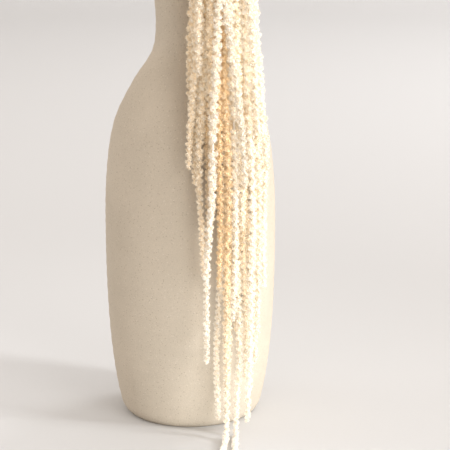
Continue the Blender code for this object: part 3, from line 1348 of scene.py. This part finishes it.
        places = (foot.reshape(-1, 3), axis.reshape(-1, 3), hint.reshape(-1, 3))
        bleach = np.repeat(np.interp(knobs.runs, strand.runs, cover.pale), sizes.florets)
        self.stars(*places, np.stack((size.ravel(), bleach, shade.ravel())))

    def stars(self, foot: np.ndarray, axis: np.ndarray, hint: np.ndarray, looks: np.ndarray) -> None:
        """Adds the florets' pointed tepals, which open round each floret's middle.

        Args:
            foot: Where each floret is rooted.
            axis: The way each floret faces.
            hint: A direction across each floret.
            looks: Three rows: the radius of each floret's knob, how bleached its points are (painted shade
                and painted light included), its tone.
        """
        sizes, draw = self.sizes, self.draw
        size, pale, tone = looks[0][:, None], looks[1], looks[2]
        first, second = square_to(axis, hint + draw.normal(0.0, sizes.floret_stray, hint.shape))
        turn = 2 * math.pi * np.arange(sizes.tepals)[None, :] / sizes.tepals
        turn = turn + draw.uniform(*FIRST_TURN, (len(foot), 1))
        turn = turn + draw.normal(0.0, sizes.tepal_stray, turn.shape)
        opening = sizes.opening * draw.uniform(*sizes.opening_play, turn.shape)
        way = unit(axis[:, None] + ways_round(turn, first, second) * opening[..., None])
        up, side = square_to(way, np.broadcast_to(axis[:, None], way.shape))
        side = unit(side + up * draw.normal(0.0, sizes.tepal_twist, turn.shape)[..., None])
        length = sizes.tepal_length * size * draw.uniform(*sizes.length_play, turn.shape)
        width = sizes.tepal_width * size * draw.uniform(*sizes.width_play, turn.shape)
        half_base = side * (width / 2)[..., None]
        root = foot[:, None]
        points = np.stack((root + half_base, root + way * length[..., None], root - half_base), axis=2)
        points = points.reshape(-1, 3)
        faces = np.arange(len(points)).reshape(-1, 3)
        corner_heights = np.array((0.0, 1.0, 0.0))
        bleach = self.bleach(np.repeat(pale, sizes.tepals)[:, None], corner_heights).ravel()
        self.shape.add(points, faces, bleach, np.repeat(tone, 3 * sizes.tepals))

    def build(self, finish: Material) -> bpy.types.Object:
        """Builds the spray and dresses it.

        Args:
            finish: The flowers' material.

        Returns:
            The spray.
        """
        rachis = self.drape.arch(self.plan)
        arch_length = sum((b - a).length for a, b in zip(rachis, rachis[1:]))
        layer = self.drape.layers[self.plan.depth]
        for index, tassel in enumerate(self.plan.tassels):
            leads = index == self.plan.leader
            start = rachis if leads else self.drape.branch(self.plan, tassel, rachis)
            strand = Strand(start[:-1] + self.drape.hang(layer, tassel), self.sizes.ring_pitch)
            radii = self.radii(strand, leads, arch_length) * self.sizes.reach
            self.cover(strand, radii, self.fullness(strand, tassel), self.paleness_and_painted_light(strand, tassel))
        self.add_spikes(rachis)
        self.settle()
        return self.shape.to_object(f"flowers_{self.plan.name}", finish)

    def cover(self, strand: Strand, radii: np.ndarray, full: np.ndarray, pale: np.ndarray) -> None:
        """Covers one line with knobs and florets.

        Args:
            strand: The line.
            radii: The radius at each step.
            full: Whether knobs are there at each step.
            pale: How bleached it is at each step.
        """
        tone = float(self.draw.normal(1.0, self.sizes.tassel_tones))
        cover = Cover(strand, radii, full, pale, tone)
        knobs = self.knobs(cover)
        self.body(cover, knobs)
        self.florets(cover, knobs)

    def add_spikes(self, rachis: list[Vector]) -> None:
        """Adds the short side spikes, which leave the rachis to the left and to the right by turns.

        Args:
            rachis: Points along the rachis.
        """
        low, high = self.spike_span
        leader = self.plan.tassels[self.plan.leader]
        for number in range(self.spikes):
            share = low + (high - low) * (number + self.draw.uniform(*self.spike_place)) / self.spikes
            side = (-1.0) ** number * self.draw.uniform(*self.spike_aside)
            line = self.drape.spike(rachis, share, side, self.draw.uniform(*self.spike_length))
            strand = Strand(line, self.sizes.ring_pitch)
            taper = 1.0 - self.spike_taper * strand.runs / strand.length
            radii = self.spike_radius * self.sizes.reach * taper
            self.cover(strand, radii, np.ones(len(radii)), self.paleness_and_painted_light(strand, leader))

    def settle(self) -> None:
        """Presses florets that would reach into the surface or the vase back against them."""
        form = self.drape.form
        levels = np.linspace(0.0, form.height, self.outline_steps)
        outer = np.array([form.radius(level) for level in levels]) + self.clearance
        for points in self.shape.points:
            points[:, 2] = np.maximum(points[:, 2], self.clearance)
            beside = points[:, 2] < form.height
            radius = np.hypot(points[:, 0], points[:, 1])
            least = np.interp(points[:, 2], levels, outer)
            push = np.where(beside & (radius < least), least / np.maximum(radius, TINY), 1.0)
            points[:, :2] *= push[:, None]


@dataclass(frozen=True)
class CutStalk:
    """A cut stalk: a ribbed, slightly jointed stem from the vase's floor to its spray."""

    plan: SprayPlan
    drape: Drape
    radius: float = 0.0028
    ribs: int = 7
    rib_depth: float = 0.06
    joint_spacing: float = 0.062
    joint_start: float = 0.35
    joint_width: float = 0.06
    joint_swell: float = 0.10
    sides: int = 21
    step: float = 0.0055

    def build(self, finish: Material) -> bpy.types.Object:
        """Builds the stalk and dresses it.

        Args:
            finish: The straw material.

        Returns:
            The stalk.
        """
        strand = Strand(self.drape.stalk(self.plan), self.step)
        lean = strand.along[0][2]
        strand.points[0] += np.array((0.0, 0.0, self.radius * math.sqrt(1 - lean**2)))
        angles = 2 * math.pi * np.arange(self.sides)[None, :] / self.sides
        ribbed = 1.0 - self.rib_depth * (0.5 + 0.5 * np.cos(angles * self.ribs))
        to_joint = np.abs((strand.runs / self.joint_spacing + self.joint_start) % 1.0 - 0.5)
        swell = 1.0 - self.joint_swell + self.joint_swell * np.exp(-((to_joint / self.joint_width) ** 2))
        reach = self.radius * swell[:, None] * ribbed
        spokes = ways_round(angles, strand.normal, strand.side)
        points = (strand.points[:, None] + spokes * reach[..., None]).reshape(-1, 3)
        shape = Shape(smooth=True)
        points = np.concatenate((points, strand.points[[0, -1]]))
        shape.add(points, tube_faces(len(strand.runs), self.sides))
        return shape.to_object(f"cut_stalk_{self.plan.name}", finish)


def bunch_layers() -> dict[Depth, Layer]:
    """The three layers of the bunch, from the vase outwards."""
    return {
        Depth.BACK: Layer(
            beyond_body=0.0048, mouth_out=0.027, neck_out=0.0195, foot_out=-0.040,
            rim_out=0.053, rise=0.040, spread_per_deg=0.00126, drift=0.0024,
        ),
        Depth.MIDDLE: Layer(
            beyond_body=0.0134, mouth_out=0.013, neck_out=0.0085, foot_out=-0.047,
            rim_out=0.064, rise=0.066, spread_per_deg=0.00146, drift=0.0024,
        ),
        Depth.FRONT: Layer(
            beyond_body=0.0222, mouth_out=-0.001, neck_out=-0.0030, foot_out=-0.055,
            rim_out=0.075, rise=0.092, spread_per_deg=0.00153, drift=0.0010,
        ),
    }


def bunch_plan(over: float = 0.0090) -> tuple[SprayPlan, ...]:
    """The six sprays, with the lane and the tip's height of each tassel.

    Args:
        over: How far outside its layer a tassel lies that hangs over the others.

    Returns:
        The sprays.
    """
    return (
        # Each tassel's pale value is partly its own tone and partly painted shade, lower where it hangs in
        # the shade of others.
        SprayPlan(Depth.FRONT, Hand.LEFT, 2, (
            Tassel(5.0, 0.380, pale=0.90),
            Tassel(12.0, 0.234, bare=((0.282, 0.292),), pale=0.76),
            Tassel(16.1, 0.166, pale=0.42),
            Tassel(20.4, 0.0, pale=0.50),
            Tassel(24.5, 0.129, bare=((0.326, 0.334),)),
            Tassel(7.0, 0.088, over, 15.0, 6.8, ((0.307, 0.317),)),
            Tassel(27.0, 0.270, over, 14.5, 1.5),
        )),
        SprayPlan(Depth.FRONT, Hand.RIGHT, 1, (
            Tassel(28.6, 0.226, pale=0.86),
            Tassel(34.8, 0.013),
            Tassel(38.9, 0.105, pale=0.88),
            Tassel(43.2, 0.315, pale=0.96),
            Tassel(37.2, 0.320, over, 34.0),
        )),
        SprayPlan(Depth.MIDDLE, Hand.LEFT, 2, (
            Tassel(-0.9, 0.287, slide_deg=4.5, pale=0.82),
            Tassel(7.6, 0.173, pale=0.82),
            Tassel(14.0, 0.228, pale=0.64),
            Tassel(22.4, 0.055, pale=0.62),
        )),
        SprayPlan(Depth.MIDDLE, Hand.RIGHT, 0, (
            Tassel(28.8, 0.0, pale=0.88),
            Tassel(34.0, 0.060, pale=0.76),
            Tassel(40.6, 0.075, pale=0.80),
            Tassel(47.6, 0.190, pale=0.98),
        )),
        SprayPlan(Depth.BACK, Hand.LEFT, 2, (
            Tassel(-5.1, 0.300, slide_deg=9.2, pale=0.76),
            Tassel(-5.7, 0.270, slide_deg=14.7, pale=0.80),
            Tassel(8.6, 0.200, slide_deg=4.8, pale=0.62),
            Tassel(19.2, 0.014, pale=0.90),
        )),
        SprayPlan(Depth.BACK, Hand.RIGHT, 2, (
            Tassel(24.9, 0.145, pale=0.54),
            Tassel(31.2, 0.110, pale=0.66),
            Tassel(38.4, 0.090, pale=0.76),
            Tassel(46.0, 0.120, pale=0.82),
            Tassel(53.8, 0.150, pale=0.98),
        )),
    )


# The studio


class Lit(Enum):
    """What a lamp shines on: everything, the vase and the flowers, or the flowers alone."""

    ALL = "all"
    PIECE = "piece"
    FLOWERS = "flowers"


@dataclass(frozen=True)
class Lamp:
    """A soft lamp that faces a point from a direction, a height angle and a distance.

    It shines all over its front, or inside a cone where it has one. Where it doesn't shine on
    everything it casts no shadows, and stands for light that the studio's sheet throws back.
    """

    name: str
    target: Triple
    azimuth_deg: float
    height_deg: float
    distance: float
    size: float
    power: float
    colour: Triple
    cone_deg: float = 0.0
    cone_softness: float = 0.7
    lit: Lit = Lit.ALL

    def build(self, groups: dict[Lit, bpy.types.Collection]) -> None:
        """Hangs the lamp and points it at its target.

        Args:
            groups: The objects that a lamp may shine on alone.
        """
        azimuth, height = math.radians(self.azimuth_deg), math.radians(self.height_deg)
        flat = math.cos(height)
        away = Vector((math.sin(azimuth) * flat, -math.cos(azimuth) * flat, math.sin(height)))
        if self.cone_deg:
            data = bpy.data.lights.new(self.name, "SPOT")
            data.spot_size = math.radians(self.cone_deg)
            data.spot_blend = self.cone_softness
            data.shadow_soft_size = self.size / 2
        else:
            data = bpy.data.lights.new(self.name, "AREA")
            data.shape = "DISK"
            data.size = self.size
        data.energy = self.power
        data.color = self.colour
        lamp = bpy.data.objects.new(self.name, data)
        lamp.location = Vector(self.target) + away * self.distance
        lamp.rotation_euler = (-away).to_track_quat("-Z", "Y").to_euler()
        lamp.visible_camera = False
        if self.lit in groups:
            data.use_shadow = False
            lamp.light_linking.receiver_collection = groups[self.lit]
        bpy.context.scene.collection.objects.link(lamp)


@dataclass(frozen=True)
class Studio:
    """The pale sweep, the soft lamps, the even light that comes in over its wall, and the camera."""

    floor_radius: float = 3.4
    sweep_radius: float = 0.8
    sweep_steps: int = 16
    wall_height: float = 1.7
    sides: int = 128
    sky_colour: Triple = (1.0, 0.92, 0.85)
    sky_strength: float = 0.89
    camera_place: Triple = (0.0369, -1.8, 0.655)
    camera_down_deg: float = 14.08
    focal_pixels: float = 1737.0
    photo_width: float = 450.0
    sensor_mm: float = 36.0
    lamps: tuple[Lamp, ...] = (
        Lamp(
            "key_lamp", (0.03, -0.12, 0.27), azimuth_deg=73.0, height_deg=23.0, distance=3.2, size=0.8,
            power=410.0, colour=(0.97, 0.985, 1.0), cone_deg=15.5, cone_softness=0.6,
        ),
        Lamp(
            "fill_lamp", (0.02, -0.05, 0.26), azimuth_deg=38.0, height_deg=22.0, distance=3.4, size=1.8,
            power=33.0, colour=(1.0, 0.98, 0.96),
        ),
        Lamp(
            "backdrop_lamp", (0.2, 2.8, 0.0), azimuth_deg=60.0, height_deg=50.0, distance=3.0, size=1.8,
            power=45.0, colour=(0.96, 0.97, 1.0),
        ),
        Lamp(
            "left_lamp", (0.0, 0.0, 0.1), azimuth_deg=-100.0, height_deg=24.0, distance=2.8, size=1.2,
            power=10.0, colour=(1.0, 0.98, 0.96),
        ),
        Lamp(
            "glow_lamp", (0.62, -0.05, 0.42), azimuth_deg=40.0, height_deg=8.0, distance=3.0, size=0.1,
            power=245.0, colour=(1.0, 0.96, 0.86), cone_deg=18.8, cone_softness=0.4, lit=Lit.FLOWERS,
        ),
        Lamp(
            "foot_lamp", (0.07, -0.09, -0.01), azimuth_deg=36.0, height_deg=12.0, distance=3.2, size=0.3,
            power=260.0, colour=(0.90, 0.96, 1.0), cone_deg=9.6, cone_softness=0.9, lit=Lit.PIECE,
        ),
    )

    def build_sweep(self, finish: Material) -> None:
        """The round floor, which curves up into a wall all round.

        Args:
            finish: The sheet's material.
        """
        profile = [(0.0, 0.0), (self.floor_radius, 0.0)]
        for i in range(1, self.sweep_steps + 1):
            angle = math.pi / 2 * i / self.sweep_steps
            out = self.floor_radius + self.sweep_radius * math.sin(angle)
            profile.append((out, self.sweep_radius * (1 - math.cos(angle))))
        profile.append((self.floor_radius + self.sweep_radius, self.wall_height))
        sweep = turned(profile, self.sides).to_object("studio_sweep", finish)

    def build_sky(self) -> None:
        """The even, warm light that comes in over the wall."""
        world = bpy.data.worlds.new("studio_sky")
        world.use_nodes = True
        background = world.node_tree.nodes["Background"]
        background.inputs["Color"].default_value = (*self.sky_colour, 1.0)
        background.inputs["Strength"].default_value = self.sky_strength
        bpy.context.scene.world = world

    def build_camera(self) -> None:
        """The camera, at the photograph's angle."""
        data = bpy.data.cameras.new("studio_camera")
        data.sensor_width = self.sensor_mm
        data.lens = self.focal_pixels / self.photo_width * self.sensor_mm
        camera = bpy.data.objects.new("studio_camera", data)
        camera.location = self.camera_place
        camera.rotation_euler = (math.radians(90.0 - self.camera_down_deg), 0.0, 0.0)
        bpy.context.scene.collection.objects.link(camera)
        bpy.context.scene.camera = camera

    def build(self, finish: Material, groups: dict[Lit, bpy.types.Collection]) -> None:
        """Sets up the studio.

        Args:
            finish: The sheet's material.
            groups: The objects that a lamp may shine on alone.
        """
        self.build_sweep(finish)
        self.build_sky()
        self.build_camera()
        for lamp in self.lamps:
            lamp.build(groups)
        settings = bpy.context.scene.view_settings
        settings.view_transform = "Standard"
        settings.look = "None"
        settings.exposure = 0.0


def seat(piece: bpy.types.Object, node: str) -> None:
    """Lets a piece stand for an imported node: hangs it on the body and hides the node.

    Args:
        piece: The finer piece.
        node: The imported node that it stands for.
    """
    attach(piece, BODY)
    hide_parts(node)
    LOG.info("%s: %d triangles, for %s", piece.name, len(piece.data.polygons), node)


def main() -> None:
    """Builds the vase, the stalks, the flowers and the studio."""
    logging.basicConfig(level=logging.INFO, format="%(name)s: %(message)s")
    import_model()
    form = VaseForm()
    drape = Drape(form, bunch_layers())
    groups = {lit: bpy.data.collections.new(lit.value) for lit in (Lit.PIECE, Lit.FLOWERS)}
    vase = Vase(form).build(StonewareFinish().material())
    groups[Lit.PIECE].objects.link(vase)
    seat(vase, "vase")
    straw = StrawFinish().material()
    cream = FlowerFinish().material()
    for plan in bunch_plan():
        seat(CutStalk(plan, drape).build(straw), f"stalk_{plan.name}")
        spray = FlowerSpray(plan, drape).build(cream)
        for group in groups.values():
            group.objects.link(spray)
        seat(spray, f"spray_{plan.name}")
    Studio().build(PaperFinish().material(), groups)


if __name__ == "__main__":
    main()
